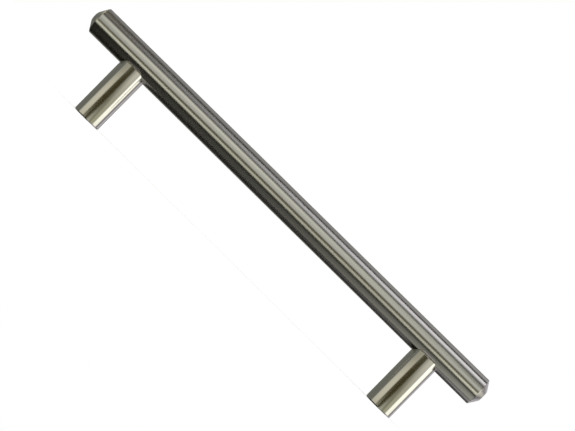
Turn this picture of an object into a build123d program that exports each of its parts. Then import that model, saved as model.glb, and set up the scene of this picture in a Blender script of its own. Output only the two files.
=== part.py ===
from build123d import *
import math
import os

os.makedirs("parts", exist_ok=True)

# A cabinet pull: a round bar with coned ends, carried by two round posts that a hidden headless screw
# each draws up to the bar. Millimetres. The origin is on the door's face, midway between the two
# mounting holes. +X runs along the bar, and +Z points out of the door.

# Mounting
hole_centres = 128.0
projection = 30.2

# Bar
bar_diameter = 10.0
bar_length = 169.6
end_face_diameter = 3.8
end_cone_depth = 2.0
end_edge_radius = 0.3

# Posts
post_diameter = 10.0
saddle_depth = 1.75
saddle_clearance = 0.02
foot_chamfer = 0.35
ear_edge_break = 0.15

# Tapped hole in the foot, cut at its tapping-drill size, for the screw that comes through the door
mounting_tap_drill = 3.3
mounting_countersink = 4.4

# Headless joining screw, and the tapped holes that take it, cut at their tapping-drill size
joining_tap_drill = 4.2
joining_clearance = 0.05
joining_screw_length = 12.0
reach_into_bar = 5.5
end_gap_in_bar = 1.0
end_gap_in_post = 0.5
screw_end_chamfer = 0.5
hex_key_size = 2.0
hex_socket_depth = 2.5

# The usual angle across a twist drill's point, and what a cutter runs past a face that it opens
drill_point_angle = 118.0
cutter_overrun = 1.0

# Heights above the door that follow from the sizes above
bar_radius = bar_diameter / 2
post_radius = post_diameter / 2
bar_axis_height = projection - bar_radius
bar_underside = bar_axis_height - bar_radius
ear_height = bar_underside + saddle_depth
screw_top = bar_underside + reach_into_bar
screw_bottom = screw_top - joining_screw_length
bar_bore_end = screw_top + end_gap_in_bar
post_bore_end = screw_bottom - end_gap_in_post

mounting_bore_radius = mounting_tap_drill / 2
countersink_radius = mounting_countersink / 2
countersink_depth = countersink_radius - mounting_bore_radius
joining_bore_radius = joining_tap_drill / 2
screw_radius = joining_bore_radius - joining_clearance


def drill_point_length(radius, inner_radius=0.0):
    """Height of the cone that a drill of this radius leaves, down to an inner radius."""
    return (radius - inner_radius) / math.tan(math.radians(drill_point_angle / 2))


post_places = {"left": -hole_centres / 2, "right": hole_centres / 2}

# Bar: half its outline turned about its own axis, then a blind tapped hole over each post
with BuildPart() as bar:
    with BuildSketch(Plane.XZ) as bar_outline:
        with BuildLine():
            Polyline(
                (-bar_length / 2, bar_axis_height),
                (-bar_length / 2, bar_axis_height + end_face_diameter / 2),
                (-bar_length / 2 + end_cone_depth, bar_axis_height + bar_radius),
                (bar_length / 2 - end_cone_depth, bar_axis_height + bar_radius),
                (bar_length / 2, bar_axis_height + end_face_diameter / 2),
                (bar_length / 2, bar_axis_height),
                close=True,
            )
        make_face()
        turned_corners = bar_outline.vertices().group_by(Axis.Y)[1:]
        for corners in turned_corners:
            fillet(corners, radius=end_edge_radius)
    revolve(axis=Axis((0, 0, bar_axis_height), (1, 0, 0)))
    for hole_x in post_places.values():
        with BuildSketch(Plane.XZ):
            with BuildLine():
                Polyline(
                    (hole_x, bar_underside - cutter_overrun),
                    (hole_x + joining_bore_radius, bar_underside - cutter_overrun),
                    (hole_x + joining_bore_radius, bar_bore_end),
                    (hole_x, bar_bore_end + drill_point_length(joining_bore_radius)),
                    close=True,
                )
            make_face()
        revolve(axis=Axis((hole_x, 0, 0), (0, 0, 1)), mode=Mode.SUBTRACT)
bar.part.label = "bar"
export_step(bar.part, "parts/bar.step")

for side, hole_x in post_places.items():
    bore_axis = Axis((hole_x, 0, 0), (0, 0, 1))

    # Post: a round rod, broken at both rims, with the bar's seat milled across its top. Two bores meet
    # inside it: the narrow one from the foot, and the wider one from the seat, which ends in a drill point
    with BuildPart() as post:
        with BuildSketch(Plane.XY):
            with Locations((hole_x, 0)):
                Circle(post_radius)
        extrude(amount=ear_height)
        rims = post.edges().filter_by(GeomType.CIRCLE).sort_by(Axis.Z)
        chamfer(rims[0], length=foot_chamfer)
        ear_rim = post.edges().filter_by(GeomType.CIRCLE).sort_by(Axis.Z)[-1]
        chamfer(ear_rim, length=ear_edge_break)
        with BuildSketch(Plane.YZ.offset(hole_x - post_diameter)):
            with Locations((0, bar_axis_height)):
                Circle(bar_radius + saddle_clearance)
        extrude(amount=2 * post_diameter, mode=Mode.SUBTRACT)
        with BuildSketch(Plane.XZ):
            with BuildLine():
                Polyline(
                    (hole_x, 0),
                    (hole_x + countersink_radius, 0),
                    (hole_x + mounting_bore_radius, countersink_depth),
                    (
                        hole_x + mounting_bore_radius,
                        post_bore_end - drill_point_length(joining_bore_radius, mounting_bore_radius),
                    ),
                    (hole_x + joining_bore_radius, post_bore_end),
                    (hole_x + joining_bore_radius, ear_height),
                    (hole_x, ear_height),
                    close=True,
                )
            make_face()
        revolve(axis=bore_axis, mode=Mode.SUBTRACT)
    post.part.label = f"post_{side}"
    export_step(post.part, f"parts/post_{side}.step")

    # Joining screw: headless, coned at both ends, with the hex socket that is turned through the foot
    with BuildPart() as joining_screw:
        with BuildSketch(Plane.XY.offset(screw_bottom)):
            with Locations((hole_x, 0)):
                Circle(screw_radius)
        extrude(amount=joining_screw_length)
        chamfer(joining_screw.edges().filter_by(GeomType.CIRCLE), length=screw_end_chamfer)
        with BuildSketch(Plane.XY.offset(screw_bottom)):
            with Locations((hole_x, 0)):
                RegularPolygon(radius=hex_key_size / 2, side_count=6, major_radius=False)
        extrude(amount=hex_socket_depth, mode=Mode.SUBTRACT)
    joining_screw.part.label = f"joining_screw_{side}"
    export_step(joining_screw.part, f"parts/joining_screw_{side}.step")
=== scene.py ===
# %% [markdown]
# # A round bar pull in satin steel
#
# This is the handle of a kitchen door: a solid round bar, coned at both ends, that stands on two round posts.
# A headless screw hidden inside each post draws it up to the bar. Every piece is turned from round rod on a
# lathe, so every piece can be drawn the same way here: a profile is carried round an axis and worked out as
# one numpy array. The posts' saddles and the screw threads are that same idea, with a radius or a height that
# changes with the angle.
#
# The CAD model comes first. It fixes where each piece is, and the boxes read from it give most of the sizes
# below, so nothing has to be fitted by eye.

# %% Load the CAD frame
import math

import bmesh
import bpy
import numpy as np
from mathutils import Matrix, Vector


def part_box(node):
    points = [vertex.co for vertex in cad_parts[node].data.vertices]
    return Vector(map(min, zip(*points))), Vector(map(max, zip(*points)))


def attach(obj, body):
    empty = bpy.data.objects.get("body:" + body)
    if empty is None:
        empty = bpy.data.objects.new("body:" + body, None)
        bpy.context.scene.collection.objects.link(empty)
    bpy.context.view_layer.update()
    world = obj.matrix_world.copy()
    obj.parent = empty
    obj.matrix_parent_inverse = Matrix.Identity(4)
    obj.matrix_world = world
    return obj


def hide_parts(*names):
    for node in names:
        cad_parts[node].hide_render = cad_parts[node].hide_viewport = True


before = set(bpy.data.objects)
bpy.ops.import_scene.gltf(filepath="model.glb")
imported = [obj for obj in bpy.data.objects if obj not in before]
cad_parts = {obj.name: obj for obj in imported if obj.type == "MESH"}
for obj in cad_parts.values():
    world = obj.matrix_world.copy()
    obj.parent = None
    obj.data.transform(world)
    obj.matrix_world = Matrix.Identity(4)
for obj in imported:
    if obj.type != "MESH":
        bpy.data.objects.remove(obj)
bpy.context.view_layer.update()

# %% [markdown]
# ## Sizes
#
# A lathe hand works in millimetres and Blender in metres, so one factor stands between them. Lengths, heights
# and diameters come from the CAD boxes. The sizes that a box can't show, such as the cone at the bar's end or
# the pitch of a thread, are written once, here.

# %% Sizes read from the frame, and the few that a box can't show
MM = 0.001

bar_low, bar_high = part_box("bar")
post_boxes = {side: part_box("post_" + side) for side in ("left", "right")}
screw_boxes = {side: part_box("joining_screw_" + side) for side in ("left", "right")}

bar_radius = (bar_high.y - bar_low.y) / 2
bar_axis_height = (bar_high.z + bar_low.z) / 2
bar_half_length = (bar_high.x - bar_low.x) / 2
post_radius = (post_boxes["left"][1].y - post_boxes["left"][0].y) / 2
ear_height = post_boxes["left"][1].z
post_x = {side: (low.x + high.x) / 2 for side, (low, high) in post_boxes.items()}
screw_bottom = screw_boxes["left"][0].z
screw_top = screw_boxes["left"][1].z

end_face_radius = 1.9 * MM
end_cone_depth = 2.0 * MM
end_edge_radius = 0.3 * MM
saddle_radius = bar_radius + 0.02 * MM
foot_chamfer = 0.35 * MM
ear_edge_break = 0.15 * MM
edge_softness = 0.08 * MM

gap_above_screw = 1.0 * MM
gap_below_screw = 0.5 * MM
bar_bore_end = screw_top + gap_above_screw
post_bore_end = screw_bottom - gap_below_screw
print("bar", round(2 * bar_half_length / MM, 2), "long, posts at",
      {side: round(x / MM, 2) for side, x in post_x.items()})

# %% [markdown]
# ## From grids to a closed piece
#
# Each surface is a grid of points: rows along the profile, columns round the axis. A piece is often several
# grids, such as the bar's skin and the two holes in it. Laying them down side by side and then welding the
# points that meet gives one closed mesh, and the poles, where a whole row falls on one point, close by
# themselves. A second pair of numbers goes with each point: how far it is along the profile, and how far
# round. That is the piece unrolled, and the brushed finish follows it.

# %% Helpers that build meshes
WELD_DISTANCE = 0.0005 * MM
SHARP_ANGLE = math.radians(26)


def grid_quads(rows, columns, first, keep):
    """Corner numbers of a grid's cells, counted from first. Cell (i, j) has the corners (i, j), (i+1, j),
    (i+1, j+1) and (i, j+1)."""
    number = first + np.arange(rows * columns).reshape(rows, columns)
    quads = np.stack([number[:-1, :-1], number[1:, :-1], number[1:, 1:], number[:-1, 1:]], axis=-1)
    return quads.reshape(-1, 4) if keep is None else quads[keep]


def closed_piece(name, grids):
    """A mesh object from grids of (points, unrolled, keep): the cells that are kept, welded where they meet.
    Its volume, the sum of each face's corner products over six, has to come out positive."""
    points = np.concatenate([grid[0].reshape(-1, 3) for grid in grids])
    unrolled = np.concatenate([grid[1].reshape(-1, 2) for grid in grids])
    starts = np.cumsum([0] + [grid[0].shape[0] * grid[0].shape[1] for grid in grids])
    quads = np.concatenate(
        [grid_quads(*grid[0].shape[:2], start, grid[2]) for grid, start in zip(grids, starts)]
    )
    a, b, c, d = (points[quads[:, k]] for k in range(4))
    volume = (np.einsum("ij,ij->i", a, np.cross(b, c)) + np.einsum("ij,ij->i", a, np.cross(c, d))).sum() / 6
    if volume < 0:
        quads = quads[:, ::-1]

    mesh = bpy.data.meshes.new(name)
    mesh.from_pydata(points.tolist(), [], quads.tolist())
    layer = mesh.uv_layers.new(name="unrolled")
    layer.data.foreach_set("uv", unrolled[quads.ravel()].astype(np.float32).ravel())

    shape = bmesh.new()
    shape.from_mesh(mesh)
    bmesh.ops.remove_doubles(shape, verts=shape.verts, dist=WELD_DISTANCE)
    open_edges = sum(1 for edge in shape.edges if not edge.is_manifold)
    shape.to_mesh(mesh)
    shape.free()
    mesh.shade_smooth()
    mesh.set_sharp_from_angle(angle=SHARP_ANGLE)

    piece = bpy.data.objects.new(name, mesh)
    bpy.context.scene.collection.objects.link(piece)
    print(name, "faces", len(mesh.polygons), "open edges", open_edges, "mm3", round(abs(volume) / MM**3, 1))
    return piece


def rounded_path(corners, radii, steps):
    """Straight runs through the corners, each corner replaced by an arc. The arc's ends lie radius over the
    tangent of half the corner's angle back from it, and its points swing evenly from one end to the other."""
    corners = np.array(corners, float)
    found = [corners[:1]]
    for before, corner, after, radius in zip(corners[:-2], corners[1:-1], corners[2:], radii):
        back = (before - corner) / np.linalg.norm(before - corner)
        ahead = (after - corner) / np.linalg.norm(after - corner)
        half = math.acos(np.clip(back @ ahead, -1, 1)) / 2
        centre = corner + (back + ahead) / np.linalg.norm(back + ahead) * radius / math.sin(half)
        start = corner + back * radius / math.tan(half) - centre
        end = corner + ahead * radius / math.tan(half) - centre
        swing = math.pi - 2 * half
        share = np.linspace(0, 1, steps)[:, None]
        blend = np.sin((1 - share) * swing) * start + np.sin(share * swing) * end
        found.append(centre + blend / math.sin(swing))
    found.append(corners[-1:])
    return np.concatenate(found)


def path_length(path):
    """How far each point is along the path: the running sum of the steps' lengths."""
    return np.concatenate([[0], np.cumsum(np.linalg.norm(np.diff(path, axis=0), axis=1))])


def about_x(along, radius, angle):
    """Points at a distance along the bar's axis and a radius from it. Angle 0 is +Y, a quarter turn is +Z."""
    along, radius, angle = np.broadcast_arrays(along, radius, angle)
    return np.stack([along, radius * np.cos(angle), bar_axis_height + radius * np.sin(angle)], axis=-1)


def about_z(centre_x, height, radius, angle):
    """Points at a height and a radius from a post's axis. Angle 0 is +X, a quarter turn is +Y."""
    height, radius, angle = np.broadcast_arrays(height, radius, angle)
    return np.stack([centre_x + radius * np.cos(angle), radius * np.sin(angle), height], axis=-1)


def unrolled_grid(along, around):
    """The unrolled coordinates of a grid: metres along the profile, and the share of a turn."""
    along, around = np.broadcast_arrays(along, around)
    return np.stack([along, around], axis=-1)


print("points nearer than", round(WELD_DISTANCE / MM, 4), "mm are welded")

# %% [markdown]
# ## Threads
#
# A metric thread is a 60-degree ridge wound round a cylinder, an eighth of a pitch wide at its crest and a
# quarter at its root. The same function cuts the tapped holes and the screws: at each angle and height it
# asks how far round the helix the point is, and returns how high the ridge stands there. Because both read
# the same helix, a screw's ridge lies in its hole's groove with an even gap, as on the bench.

# %% Metric threads as a ridge wound round a hole or a rod
M4 = {"pitch": 0.7 * MM, "tap_radius": 1.65 * MM, "ridge": 0.35 * MM}
M5 = {"pitch": 0.8 * MM, "tap_radius": 2.1 * MM, "ridge": 0.4 * MM}
CREST_SHARE = 1 / 8
ROOT_SHARE = 1 / 4
ROWS_PER_PITCH = 12


def ridge_height(thread, angle, height):
    """The share of the ridge, 0 at the root and 1 at the crest, where the helix is height over pitch less the
    share of a turn, and the fall from the crest's middle to the root's middle is a straight flank."""
    phase = height / thread["pitch"] - angle / (2 * math.pi)
    from_crest = 2 * np.abs(phase - np.floor(phase) - 0.5)
    return np.clip((1 - ROOT_SHARE - from_crest) / (1 - ROOT_SHARE - CREST_SHARE), 0, 1)


def tapped_radius(thread, angle, height, mouth, end, mouth_radius):
    """Radius of a tapped hole's wall: its drilled radius and the ridge's groove, which runs out over the last
    pitch before the hole's end, or the 45-degree cone at the mouth where that is wider."""
    run_out = np.clip(np.abs(end - height) / thread["pitch"], 0, 1)
    groove = thread["tap_radius"] + thread["ridge"] * ridge_height(thread, angle, height) * run_out
    return np.maximum(groove, mouth_radius - np.abs(height - mouth))


def rows_for(thread, depth):
    """Enough rows down a thread to draw its flanks."""
    return int(round(ROWS_PER_PITCH * depth / thread["pitch"])) + 1


print("threads", M4["pitch"] / MM, "and", M5["pitch"] / MM, "mm pitch")

# %% [markdown]
# ## The bar
#
# The bar is half an outline turned about its own length: a small flat at the end, a cone, and the long
# straight side, with each corner slightly rounded where the polishing belt takes the edge off. The two tapped
# holes in its underside are the awkward part, because a round hole has to meet a grid of long strips. So a
# square of the grid is left out round each hole, and a patch of rings fills it that starts on the square's
# edge and ends on the hole's mouth. Its points are laid out flat and then dropped onto the bar.

# %% Bar
BAR_COLUMNS = 128
SQUARE_CELLS = 32
END_STEPS = 7
MIDDLE_POINTS = 26
PATCH_RINGS = 9
POINT_RINGS = 6
BAR_BOTTOM = 1.5 * math.pi
DRILL_HALF_ANGLE = math.radians(59)
square_half = 4.0 * MM
mouth_radius = 2.6 * MM
drill_point_slope = math.tan(DRILL_HALF_ANGLE)


def bar_outline():
    """Distance along the bar and radius: pole, flat, rounded cone, side, and the same back to the far pole.
    The side has even steps beside each hole, so that the square patches fit."""
    end = np.array([[-bar_half_length, 0], [-bar_half_length, end_face_radius],
                    [-bar_half_length + end_cone_depth, bar_radius], [0, bar_radius]])
    left_end = rounded_path(end, [end_edge_radius, end_edge_radius], END_STEPS)[:-1]
    beside = [np.linspace(x - square_half, x + square_half, SQUARE_CELLS + 1) for x in post_x.values()]
    middle = np.linspace(beside[0][-1], beside[1][0], MIDDLE_POINTS)[1:-1]
    side_x = np.concatenate([beside[0], middle, beside[1]])
    side = np.stack([side_x, np.full_like(side_x, bar_radius)], axis=-1)
    right_end = left_end[::-1] * [-1, 1]
    return np.concatenate([left_end, side, right_end])


def square_walk():
    """Steps round a square from the middle of its +X side, as two arrays of cell offsets from its centre."""
    half = SQUARE_CELLS // 2
    rise = np.arange(0, half)
    run = np.arange(half, -half, -1)
    last_rise = np.arange(-half, 1)
    sideways = np.concatenate([np.full(half, half), run, np.full(2 * half, -half), -run,
                               np.full(half + 1, half)])
    upward = np.concatenate([rise, np.full(2 * half, half), run, np.full(2 * half, -half), last_rise])
    return sideways, upward


def bar_hole(centre_x, along_at):
    """The patch of rings on the bar round a hole, and the tapped hole down to its drill point."""
    sideways, upward = square_walk()
    turn = np.linspace(0, 1, len(sideways))
    angle = 2 * math.pi * turn
    edge_x = sideways * 2 * square_half / SQUARE_CELLS
    edge_y = bar_radius * np.sin(upward * 2 * math.pi / BAR_COLUMNS)
    share = np.linspace(1, 0, PATCH_RINGS)[:, None]
    flat_x = share * edge_x + (1 - share) * mouth_radius * np.cos(angle)
    flat_y = share * edge_y + (1 - share) * mouth_radius * np.sin(angle)
    patch_height = bar_axis_height - np.sqrt(bar_radius**2 - flat_y**2)
    patch = np.stack([centre_x + flat_x, flat_y, patch_height], axis=-1)
    around = (BAR_BOTTOM + np.arcsin(flat_y / bar_radius)) / (2 * math.pi)
    patch_unrolled = unrolled_grid(along_at + flat_x, around)

    mouth = patch[-1, :, 2]
    down = np.linspace(0, 1, rows_for(M5, bar_bore_end - bar_axis_height + bar_radius))[:, None]
    height = mouth * (1 - down) + bar_bore_end * down
    radius = tapped_radius(M5, angle, height, mouth, bar_bore_end, mouth_radius)
    wall = about_z(centre_x, height, radius, angle)
    point_radius = M5["tap_radius"] * np.linspace(1, 0, POINT_RINGS)[:, None]
    point = about_z(centre_x, bar_bore_end + (M5["tap_radius"] - point_radius) / drill_point_slope,
                    point_radius, angle)
    return [
        (patch, patch_unrolled, None),
        (wall, unrolled_grid(height, turn), None),
        (point, unrolled_grid(M5["tap_radius"] - point_radius, turn), None),
    ]


def make_bar():
    """The turned skin without the two squares, and the patch and hole that fill each one."""
    outline = bar_outline()
    along = path_length(outline)
    turn = np.linspace(0, 1, BAR_COLUMNS + 1)
    skin = about_x(outline[:, :1], outline[:, 1:], 2 * math.pi * turn)
    keep = np.ones((len(outline) - 1, BAR_COLUMNS), bool)
    bottom = 3 * BAR_COLUMNS // 4
    grids = []
    for x in post_x.values():
        first = int(np.argmin(np.abs(outline[:, 0] - (x - square_half)) + np.abs(outline[:, 1] - bar_radius)))
        keep[first : first + SQUARE_CELLS, bottom - SQUARE_CELLS // 2 : bottom + SQUARE_CELLS // 2] = False
        grids += bar_hole(x, along[first] + square_half)
    grids.insert(0, (skin, unrolled_grid(along[:, None], turn), keep))
    return closed_piece("bar_rod", grids)


bar_rod = make_bar()

# %% [markdown]
# ## The posts
#
# A post is a short rod bored right through, so its surface is one closed ring: up the narrow bore, out over
# the foot, up the side, in across the top, and down the wide bore. The top is the saddle. A milling cutter of
# the bar's radius runs across it and leaves two low ears. The crease between saddle and ear lies at a fixed
# distance from the middle, so one ring of the grid is laid exactly along it, and the crease stays crisp.

# %% Posts
POST_COLUMNS = 128
FOOT_STEPS = 4
WALL_ROWS = 10
EAR_ROWS = 4
DIP_ROWS = 12
SHOULDER_ROWS = 3
NEAR_ZERO = 1e-9
bar_underside = bar_axis_height - bar_radius
straight_side_end = bar_underside - 1.0 * MM
countersink_radius = 2.2 * MM
crease_y = math.sqrt(saddle_radius**2 - (bar_axis_height - ear_height) ** 2)


def saddle_height(y):
    """Height of the post's top: the lower side of the cutter's cylinder, or the ear where that is lower."""
    inside = np.sqrt(np.maximum(saddle_radius**2 - np.asarray(y) ** 2, 0))
    return np.minimum(bar_axis_height - inside, ear_height)


def make_post(side):
    """Rings that close on themselves: narrow bore, foot, side, saddle, wide bore."""
    x = post_x[side]
    turn = np.linspace(0, 1, POST_COLUMNS + 1)
    angle = 2 * math.pi * turn
    sine = np.abs(np.sin(angle))

    shoulder_end = post_bore_end - (M5["tap_radius"] - M4["tap_radius"]) / drill_point_slope
    bore_z = np.linspace(shoulder_end, 0, rows_for(M4, shoulder_end))[:, None]
    bore_radius = tapped_radius(M4, angle, bore_z, 0, shoulder_end, countersink_radius)
    narrow_bore = about_z(x, bore_z, bore_radius, angle)

    corners = [[countersink_radius, 0], [post_radius - foot_chamfer, 0], [post_radius, foot_chamfer],
               [post_radius, straight_side_end]]
    foot = rounded_path(corners, [edge_softness, edge_softness], FOOT_STEPS)
    foot_rows = about_z(x, foot[:, 1:], foot[:, :1], angle)
    foot_along = path_length(foot)

    over_rim = np.clip(saddle_height(post_radius * sine) - (ear_height - ear_edge_break), 0, ear_edge_break)
    rim_radius = post_radius - over_rim
    rim_height = np.minimum(saddle_height(rim_radius * sine), ear_height)
    wall_top = np.minimum(saddle_height(post_radius * sine), ear_height - ear_edge_break)
    climb = np.linspace(0, 1, WALL_ROWS)[:, None]
    wall_height = foot[-1, 1] * (1 - climb) + wall_top * climb
    wall_rows = about_z(x, wall_height, post_radius, angle)
    rim_rows = about_z(x, rim_height[None, :], rim_radius[None, :], angle)

    crease_radius = np.minimum(crease_y / np.maximum(sine, NEAR_ZERO), rim_radius)
    ear_share = np.linspace(0, 1, EAR_ROWS)[:, None]
    ear_radius = rim_radius * (1 - ear_share) + crease_radius * ear_share
    ear_rows = about_z(x, saddle_height(np.minimum(ear_radius * sine, post_radius)), ear_radius, angle)
    dip_share = np.linspace(0, 1, DIP_ROWS)[:, None]
    dip_radius = crease_radius * (1 - dip_share) + mouth_radius * dip_share
    dip_rows = about_z(x, saddle_height(dip_radius * sine), dip_radius, angle)

    mouth = saddle_height(mouth_radius * sine)
    down = np.linspace(0, 1, rows_for(M5, bar_underside - post_bore_end))[:, None]
    wide_z = mouth * (1 - down) + post_bore_end * down
    wide_radius = tapped_radius(M5, angle, wide_z, mouth, post_bore_end, mouth_radius)
    wide_bore = about_z(x, wide_z, wide_radius, angle)
    shoulder_radius = np.linspace(M5["tap_radius"], M4["tap_radius"], SHOULDER_ROWS)[:, None]
    shoulder_z = post_bore_end - (M5["tap_radius"] - shoulder_radius) / drill_point_slope
    shoulder = about_z(x, shoulder_z, shoulder_radius, angle)

    top_along = foot_along[-1] + wall_top.max()
    grids = [
        (narrow_bore, unrolled_grid(-bore_z, turn), None),
        (foot_rows, unrolled_grid(foot_along[:, None], turn), None),
        (wall_rows, unrolled_grid(foot_along[-1] + wall_height - foot[-1, 1], turn), None),
        (np.concatenate([wall_rows[-1:], rim_rows]),
         unrolled_grid(top_along + np.array([[0], [ear_edge_break]]), turn), None),
        (ear_rows, unrolled_grid(top_along + post_radius - ear_radius, turn), None),
        (dip_rows, unrolled_grid(top_along + post_radius - dip_radius, turn), None),
        (wide_bore, unrolled_grid(wide_z, turn), None),
        (shoulder, unrolled_grid(shoulder_radius, turn), None),
    ]
    return closed_piece("post_" + side + "_turned", grids)


posts = {side: make_post(side) for side in post_x}

# %% [markdown]
# ## The joining screws
#
# Each is a headless screw: a threaded rod, coned at both ends, with a hex socket that a key reaches up
# through the foot. They can't be seen from outside except up the hole, but a part taken apart on the bench
# shows them, so they are made whole. Round the socket the radius is no longer fixed: it is the distance to
# the flat of a hexagon, which is half the key's width over the cosine of the angle from the flat's middle.

# %% Joining screws
SCREW_COLUMNS = 96
FLOOR_RINGS = 5
SOCKET_ROWS = 6
END_RINGS = 3
screw_gap = 0.05 * MM
end_cone = 0.75 * MM
hex_half_width = 1.0 * MM
hex_depth = 2.5 * MM
hex_break = 0.15 * MM


def make_screw(side):
    """Rings from the socket's floor out over the end, up the thread and in across the top."""
    x = post_x[side]
    turn = np.linspace(0, 1, SCREW_COLUMNS + 1)
    angle = 2 * math.pi * turn
    from_flat = np.mod(angle, math.pi / 3) - math.pi / 6
    hexagon = hex_half_width / np.cos(from_flat)

    floor_share = np.linspace(0, 1, FLOOR_RINGS)[:, None]
    floor_z = screw_bottom + hex_depth + hex_half_width * (1 - floor_share) / drill_point_slope
    socket_floor = about_z(x, floor_z, hexagon * floor_share, angle)
    socket_z = np.linspace(screw_bottom + hex_depth, screw_bottom + hex_break, SOCKET_ROWS)[:, None]
    socket_wall = about_z(x, socket_z, hexagon, angle)

    crest_radius = M5["tap_radius"] + M5["ridge"] - screw_gap
    rod_z = np.linspace(screw_bottom, screw_top, rows_for(M5, screw_top - screw_bottom))[:, None]
    from_end = np.minimum(rod_z - screw_bottom, screw_top - rod_z)
    ridge = M5["tap_radius"] - screw_gap + M5["ridge"] * ridge_height(M5, angle, rod_z)
    rod_radius = np.minimum(ridge, crest_radius - end_cone + from_end)
    rod = about_z(x, rod_z, rod_radius, angle)
    end_share = np.linspace(0, 1, END_RINGS)[:, None]
    rim = hexagon + hex_break
    bottom_face = about_z(x, screw_bottom, rim * (1 - end_share) + rod_radius[0] * end_share, angle)
    socket_rim = np.concatenate([socket_wall[-1:], bottom_face[:1]])
    top_face = about_z(x, screw_top, rod_radius[-1] * (1 - end_share), angle)

    grids = [
        (socket_floor, unrolled_grid(floor_z, turn), None),
        (socket_wall, unrolled_grid(-socket_z, turn), None),
        (socket_rim, unrolled_grid(np.array([[0], [hex_break]]), turn), None),
        (bottom_face, unrolled_grid(hex_break + hex_half_width * end_share, turn), None),
        (rod, unrolled_grid(rod_z, turn), None),
        (top_face, unrolled_grid(screw_top + hex_half_width * end_share, turn), None),
    ]
    return closed_piece("joining_screw_" + side + "_threaded", grids)


screws = {side: make_screw(side) for side in post_x}

# %% [markdown]
# ## Satin steel
#
# The rod is stainless steel that was spun against a fine belt. The belt leaves shallow rings round the bar,
# far too fine to see one by one. What the eye gets is a mirror that is clear round the bar and smeared along
# it: the room shows as crisp bands that run the whole length. Metallic is 1 and the tint is a warm light
# grey. Anisotropy does the smearing, along a tangent that follows the profile, so the cones and the end
# flats are brushed in rings too. The posts show their bands more sharply than the bar does, so their polish
# is finer.
#
# Two patterns are laid over that. Both are a noise read on the unrolled surface, where the share of a turn is
# bent into a circle so that no seam shows. One is stretched round the piece and gives the rings. The other
# is stretched along it and gives the faint straight streaks that drawing the rod leaves under the polish.

# %% Colours and the one helper that adds a node


def linear(hex_colour):
    """An sRGB hex colour as linear red, green, blue and alpha 1."""
    share = np.array([int(hex_colour[k : k + 2], 16) for k in (1, 3, 5)]) / 255
    value = np.where(share <= 0.04045, share / 12.92, ((share + 0.055) / 1.055) ** 2.4)
    return (*value.tolist(), 1.0)


def add(tree, kind, settings=None, **inputs):
    """Adds a node, sets its settings, and sets or links each input. A blank in an input's name is written as
    one underscore, and in_0 is the first input by number."""
    made = tree.nodes.new(kind)
    for key, value in (settings or {}).items():
        setattr(made, key, value)
    for key, value in inputs.items():
        socket = made.inputs[int(key[3:])] if key.startswith("in_") else made.inputs[key.replace("_", " ")]
        if isinstance(value, bpy.types.NodeSocket):
            tree.links.new(value, socket)
        else:
            socket.default_value = value
    return made


def blank_material(name):
    """A material with an empty node tree and its output."""
    made = bpy.data.materials.new(name)
    made.use_nodes = True
    made.node_tree.nodes.clear()
    return made, made.node_tree, made.node_tree.nodes.new("ShaderNodeOutputMaterial")


print("middle grey, #808080, is", round(linear("#808080")[0], 3), "as linear light")

# %% Satin steel, ringed by the belt
# The belt's own scratches lie a few hundredths of a millimetre apart, too fine for the picture to show. So
# the rings and the streaks are drawn as coarse as they need to be, at 0.7 mm, and kept shallow and pale.
RING_SPACING = 0.70 * MM
RING_DEPTH = 0.0010 * MM
RING_CELLS_PER_RADIAN = 1.5
STREAK_WIDTH = 0.70 * MM
STREAK_CELLS_PER_METRE = 18.0
NOISE_ROUGHNESS = 0.55
NOISE_LOW = 0.3
NOISE_HIGH = 0.7
ROUGHNESS_SWING = 0.006


def surface_noise(tree, along_scale, around_scale, detail):
    """Noise on the unrolled piece: (cosine and sine of the turn) times around_scale, and along times
    along_scale. Around_scale is the noise cells in one radian, along_scale the cells in one metre."""
    place = add(tree, "ShaderNodeUVMap", {"uv_map": "unrolled"})
    parts = add(tree, "ShaderNodeSeparateXYZ", Vector=place.outputs["UV"])
    turn = add(tree, "ShaderNodeMath", {"operation": "MULTIPLY"}, in_0=parts.outputs["Y"], in_1=2 * math.pi)
    cosine = add(tree, "ShaderNodeMath", {"operation": "COSINE"}, in_0=turn.outputs[0])
    sine = add(tree, "ShaderNodeMath", {"operation": "SINE"}, in_0=turn.outputs[0])
    bent = add(tree, "ShaderNodeCombineXYZ", X=cosine.outputs[0], Y=sine.outputs[0], Z=parts.outputs["X"])
    scaled = add(tree, "ShaderNodeVectorMath", {"operation": "MULTIPLY"}, in_0=bent.outputs[0],
                 in_1=(around_scale, around_scale, along_scale))
    return add(tree, "ShaderNodeTexNoise", Vector=scaled.outputs[0], Scale=1.0, Detail=detail,
               Roughness=NOISE_ROUGHNESS)


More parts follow.
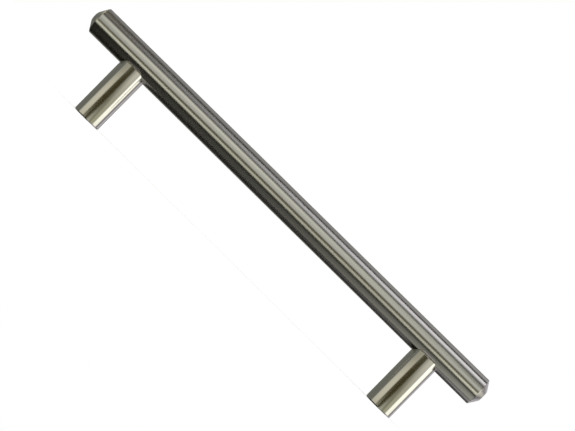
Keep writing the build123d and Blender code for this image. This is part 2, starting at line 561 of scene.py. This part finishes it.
def satin_steel(name, tint, shade, roughness, anisotropy):
    """Stainless rod, belt-polished while it turned: clear round the piece, smeared along it. The streaks mix
    shade and tint, and the rings swing the roughness and give the relief."""
    made, tree, output = blank_material(name)
    rings = surface_noise(tree, 1 / RING_SPACING, RING_CELLS_PER_RADIAN, detail=3.0)
    streaks = surface_noise(tree, STREAK_CELLS_PER_METRE, bar_radius / STREAK_WIDTH, detail=2.0)
    colour = add(tree, "ShaderNodeMix", {"data_type": "RGBA"}, in_0=streaks.outputs["Fac"],
                 in_6=linear(shade), in_7=linear(tint))
    rough = add(tree, "ShaderNodeMapRange", Value=rings.outputs["Fac"], From_Min=NOISE_LOW,
                From_Max=NOISE_HIGH, To_Min=roughness - ROUGHNESS_SWING, To_Max=roughness + ROUGHNESS_SWING)
    relief = add(tree, "ShaderNodeBump", Height=rings.outputs["Fac"], Strength=1.0, Distance=RING_DEPTH)
    tangent = add(tree, "ShaderNodeTangent", {"direction_type": "UV_MAP", "uv_map": "unrolled"})
    metal = add(tree, "ShaderNodeBsdfPrincipled", Base_Color=colour.outputs[2], Metallic=1.0,
                Roughness=rough.outputs["Result"], Anisotropic=anisotropy, Normal=relief.outputs["Normal"],
                Tangent=tangent.outputs["Tangent"])
    tree.links.new(metal.outputs["BSDF"], output.inputs["Surface"])
    return made


bar_steel = satin_steel("satin_stainless_bar", "#CFCCC4", "#C3C0B8", roughness=0.24, anisotropy=0.80)
post_steel = satin_steel("satin_stainless_post", "#CFCCC4", "#C6C3BB", roughness=0.12, anisotropy=0.30)
screw_steel = satin_steel("plain_bright_steel_screw", "#B4B4B2", "#A2A2A0", roughness=0.34, anisotropy=0.30)
print("finishes", [m.name for m in (bar_steel, post_steel, screw_steel)])

# %% Dress each piece, hang it on the root body and hide the CAD piece it stands for
bar_rod.data.materials.append(bar_steel)
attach(bar_rod, "root")
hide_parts("bar")
for side in post_x:
    posts[side].data.materials.append(post_steel)
    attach(posts[side], "root")
    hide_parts("post_" + side)
    screws[side].data.materials.append(screw_steel)
    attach(screws[side], "root")
    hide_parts("joining_screw_" + side)
print("dressed", [piece.name for piece in (bar_rod, *posts.values(), *screws.values())])

# %% [markdown]
# ## The studio
#
# Bare metal has no colour of its own to speak of: it shows the room. So the room is the other half of the
# finish. A photographer of shiny things builds that room on purpose, out of softboxes, strips of light and
# black card, and hides the camera behind a card too. Here it is painted on the inside of a large ball that
# only reflections see. Each light is a patch of the ball, given by how far it reaches round and up as seen
# from the pull, and its edges fade like a softbox's.
#
# The ball also reaches below the floor. In the photo the pull lay on its side and the picture was turned
# later, so nothing lay under its feet, and no floor shows in its lower half. So reflections don't see the
# floor here either. For the camera, the floor and the world beyond are plain white, and the floor keeps the
# pull's soft shadow.

# %% White floor and world
# On the open floor its glow, the sky and the sun come to a little more than 1, which is white. Only the
# middle of the shadow falls below that and shows.
FLOOR_HALF = 2.0
FLOOR_WHITE = "#F4F4F4"
FLOOR_GLOW = 0.53
SOFT_LEVEL = 0.50
SUN_LEVEL = 0.36


def flat_sheet(name, corners):
    """One flat face through the corners, given in order."""
    mesh = bpy.data.meshes.new(name)
    mesh.from_pydata([tuple(corner) for corner in corners], [], [tuple(range(len(corners)))])
    sheet = bpy.data.objects.new(name, mesh)
    bpy.context.scene.collection.objects.link(sheet)
    return sheet


def seen_directly(tree):
    """1 for a ray from the camera, a reflection or glass, and 0 for soft light that falls on a surface."""
    path = add(tree, "ShaderNodeLightPath")
    some = add(tree, "ShaderNodeMath", {"operation": "MAXIMUM"}, in_0=path.outputs["Is Camera Ray"],
               in_1=path.outputs["Is Glossy Ray"])
    return add(tree, "ShaderNodeMath", {"operation": "MAXIMUM"}, in_0=some.outputs[0],
               in_1=path.outputs["Is Transmission Ray"]).outputs[0]


def floor_material():
    """White card: matt, with a glow that lifts it to white for the camera, and clear seen from below."""
    made, tree, output = blank_material("white_card_floor")
    matt = add(tree, "ShaderNodeBsdfDiffuse", Color=linear(FLOOR_WHITE))
    amount = add(tree, "ShaderNodeMath", {"operation": "MULTIPLY"}, in_0=seen_directly(tree), in_1=FLOOR_GLOW)
    glow = add(tree, "ShaderNodeEmission", Color=linear("#FFFFFF"), Strength=amount.outputs[0])
    lit = add(tree, "ShaderNodeAddShader", in_0=matt.outputs[0], in_1=glow.outputs[0])
    clear = add(tree, "ShaderNodeBsdfTransparent")
    side = add(tree, "ShaderNodeNewGeometry")
    both = add(tree, "ShaderNodeMixShader", in_0=side.outputs["Backfacing"], in_1=lit.outputs[0],
               in_2=clear.outputs[0])
    tree.links.new(both.outputs[0], output.inputs["Surface"])
    return made


floor = flat_sheet("floor", [(-FLOOR_HALF, -FLOOR_HALF, 0), (FLOOR_HALF, -FLOOR_HALF, 0),
                             (FLOOR_HALF, FLOOR_HALF, 0), (-FLOOR_HALF, FLOOR_HALF, 0)])
floor.data.materials.append(floor_material())
floor.visible_glossy = False

world = bpy.data.worlds.new("white_room")
bpy.context.scene.world = world
world.use_nodes = True
world.node_tree.nodes.clear()
level = add(world.node_tree, "ShaderNodeMapRange", Value=seen_directly(world.node_tree), From_Min=0.0,
            From_Max=1.0, To_Min=SOFT_LEVEL, To_Max=1.0)
sky = add(world.node_tree, "ShaderNodeBackground", Color=linear("#FFFFFF"), Strength=level.outputs["Result"])
world_output = world.node_tree.nodes.new("ShaderNodeOutputWorld")
world.node_tree.links.new(sky.outputs[0], world_output.inputs["Surface"])
print("floor glow", FLOOR_GLOW, "and a sky of", SOFT_LEVEL, "for soft light, 1 for the camera")

# %% [markdown]
# ### The lights on the ball
#
# Angles round the ball start at the lens, on -Y, and grow towards +X. Angles up start level with the floor.
# Three wide lights in front lie one above the other and draw the broad pale band along the bar. Two warm dark
# cards cross them at the lens: their reflection is the brown core of each post, and it cuts the lower half of
# the band off towards the bar's right end. The big softbox on the right has its bright waist at the lens's
# height and lights the posts' right sides. A small light on the left does the same for their left sides, and
# dim walls to the left and behind keep the two end cones grey. The lamp overhead and the wall behind it draw
# the bar's upper third, the light below on the right greys its underside, and the strip straight behind
# shows as a light band on the bar seen from the back.

# %% Ball of light, seen only in reflections
BALL_RADIUS = 3.0
BALL_CENTRE = (0, 0, 0.02)
BALL_STEP = 2.0  # degrees between the grid's lines
BALL_DARK = (0.010, 0.009, 0.006)  # linear, what the unlit ball still gives

# name: from and to round, from and to up, how wide the edges fade (round, up), level, tint.
# A light's own edge is the middle of its fade.
LIGHTS = {
    "key_upper": (31, 119, -6, 51, 26, 20, 0.30, "#FFF9F2"),
    "key_waist": (73, 110, -12, 11, 16, 14, 1.52, "#FDFFF6"),
    "key_lower": (43, 82, -16, -5, 18, 12, 0.42, "#F9FFDD"),
    "front_upper": (-28, 87, 0, 26, 20, 16, 0.71, "#FCFFFB"),
    "front_lower": (-26, 34, -27, -11, 20, 12, 1.50, "#FCFFF2"),
    "front_high": (-30, 7, 27, 46, 24, 20, 1.22, "#FCFFF6"),
    "slot_glow": (-56, 61, -12, 6, 20, 8, 0.085, "#FFF6A0"),
    "left_kicker": (-70, -28, -12, 1, 16, 10, 0.80, "#FFFDF0"),
    "left_rim": (-130, -63, 25, 58, 26, 24, 1.50, "#FFFAE0"),
    "left_fill": (-185, -66, -40, 30, 22, 20, 0.21, "#FAFFF6"),
    "overhead": (-12, 79, 62, 95, 30, 26, 1.66, "#F4F4FF"),
    "back_upper": (140, 215, 32, 80, 26, 20, 0.36, "#F8F8FF"),
    "back_strip": (170, 185, -6, 22, 18, 14, 1.00, "#FFFDF6"),
    "back_right": (126, 157, -78, 60, 30, 24, 0.80, "#F6F3FF"),
    "low_right": (8, 105, -99, -42, 30, 26, 0.54, "#F8FBF4"),
}

# Dark cards in front of the lights. They are written as the lights are, and hide what is behind them.
CARDS = {
    "camera_card": (-25, 15, -10, 4, 10, 5, 0.06, "#FFE888"),
    "lens_card": (-8, 6, -33, 7, 14, 11, 0.05, "#FFE888"),
}


def window(angle, low, high, fade):
    """1 well inside low to high, 0 well outside, and a half on both edges, in degrees. It is the smooth step
    3t^2 - 2t^3, where t is a half plus how far the angle lies inside the nearer edge, over the fade."""
    middle = (low + high) / 2
    off = np.abs(np.mod(angle - middle + 180, 360) - 180)
    t = np.clip(((high - low) / 2 - off) / fade + 0.5, 0, 1)
    return t * t * (3 - 2 * t)


def patch_on_ball(patch, around, upward):
    """A light's or a card's share of each point, which is its window round times its window up, and that
    share times its level and its linear colour."""
    low, high, bottom, top, fade_around, fade_up, strength, tint = patch
    share = (window(around, low, high, fade_around) * window(upward, bottom, top, fade_up))[..., None]
    return share, share * strength * np.array(linear(tint)[:3])


def make_ball():
    """The ball's grid. The lights are added up. Each card then hides its share of what is there and adds its
    own: glow times (1 - share), plus the card."""
    around = np.arange(-180, 180 + BALL_STEP, BALL_STEP)
    upward = np.arange(-90, 90 + BALL_STEP, BALL_STEP)[:, None]
    glow = np.zeros((upward.size, around.size, 3))
    for light in LIGHTS.values():
        glow += patch_on_ball(light, around, upward)[1]
    for card in CARDS.values():
        share, added = patch_on_ball(card, around, upward)
        glow = glow * (1 - share) + added
    glow += BALL_DARK

    turn = np.radians(around)
    rise = np.radians(upward)
    sphere = np.broadcast_arrays(np.sin(turn) * np.cos(rise), -np.cos(turn) * np.cos(rise), np.sin(rise))
    points = np.stack(sphere, axis=-1) * BALL_RADIUS + BALL_CENTRE
    mesh = bpy.data.meshes.new("reflected_room")
    mesh.from_pydata(points.reshape(-1, 3).tolist(), [], grid_quads(*points.shape[:2], 0, None).tolist())
    layer = mesh.attributes.new("glow", "FLOAT_COLOR", "POINT")
    rgba = np.concatenate([glow.reshape(-1, 3), np.ones((glow.size // 3, 1))], axis=1)
    layer.data.foreach_set("color", rgba.astype(np.float32).ravel())
    ball = bpy.data.objects.new("reflected_room", mesh)
    bpy.context.scene.collection.objects.link(ball)
    ball.visible_camera = False
    ball.visible_diffuse = False
    ball.visible_transmission = False
    ball.visible_shadow = False

    made, tree, output = blank_material("painted_light")
    paint = add(tree, "ShaderNodeAttribute", {"attribute_name": "glow"})
    shine = add(tree, "ShaderNodeEmission", Color=paint.outputs["Color"], Strength=1.0)
    tree.links.new(shine.outputs[0], output.inputs["Surface"])
    mesh.materials.append(made)
    print("ball of", len(LIGHTS), "lights and", len(CARDS), "cards, mean glow", glow.mean().round(2),
          "brightest", glow.max().round(2))


make_ball()

# %% Soft sun, for the floor's shadow
SUN_WIDTH = math.radians(35)
SUN_TILT = (math.radians(12), math.radians(16), 0)

sun_data = bpy.data.lights.new("soft_sun", "SUN")
sun_data.energy = SUN_LEVEL
sun_data.angle = SUN_WIDTH
sun = bpy.data.objects.new("soft_sun", sun_data)
sun.rotation_euler = SUN_TILT
sun.visible_glossy = False
bpy.context.scene.collection.objects.link(sun)
print("sun", SUN_LEVEL, "from a disc", round(math.degrees(SUN_WIDTH)), "degrees across")

# %% [markdown]
# ## The camera
#
# The lens looks along the door, almost level with it, and is rolled so that the bar runs from the picture's
# upper left to its lower right. Its place was worked out from the bar's ends and edges and the posts' feet.
# Turning a camera three times in a row is easy to get wrong, so its three axes are written down instead:
# where it looks, and its right and up turned about that by the roll.

# %% Camera
camera_place = np.array([33.49, -507.67, 12.91]) * MM
yaw = math.radians(-3.493)
pitch = math.radians(1.111)
roll = math.radians(-44.578)
SENSOR_WIDTH = 36.0
half_view = math.radians(10)

ahead = np.array([math.sin(yaw) * math.cos(pitch), math.cos(yaw) * math.cos(pitch), math.sin(pitch)])
level_right = np.array([math.cos(yaw), -math.sin(yaw), 0])
level_up = np.cross(level_right, ahead)
lens_right = math.cos(roll) * level_right - math.sin(roll) * level_up
lens_up = math.sin(roll) * level_right + math.cos(roll) * level_up

camera_data = bpy.data.cameras.new("camera")
camera_data.sensor_width = SENSOR_WIDTH
camera_data.lens = SENSOR_WIDTH / 2 / math.tan(half_view)
camera = bpy.data.objects.new("camera", camera_data)
turned = np.eye(4)
turned[:3, 0] = lens_right
turned[:3, 1] = lens_up
turned[:3, 2] = -ahead
turned[:3, 3] = camera_place
camera.matrix_world = Matrix(turned.tolist())
bpy.context.scene.collection.objects.link(camera)
bpy.context.scene.camera = camera
bpy.context.scene.view_settings.view_transform = "Standard"
print("lens", round(camera_data.lens, 1), "mm")
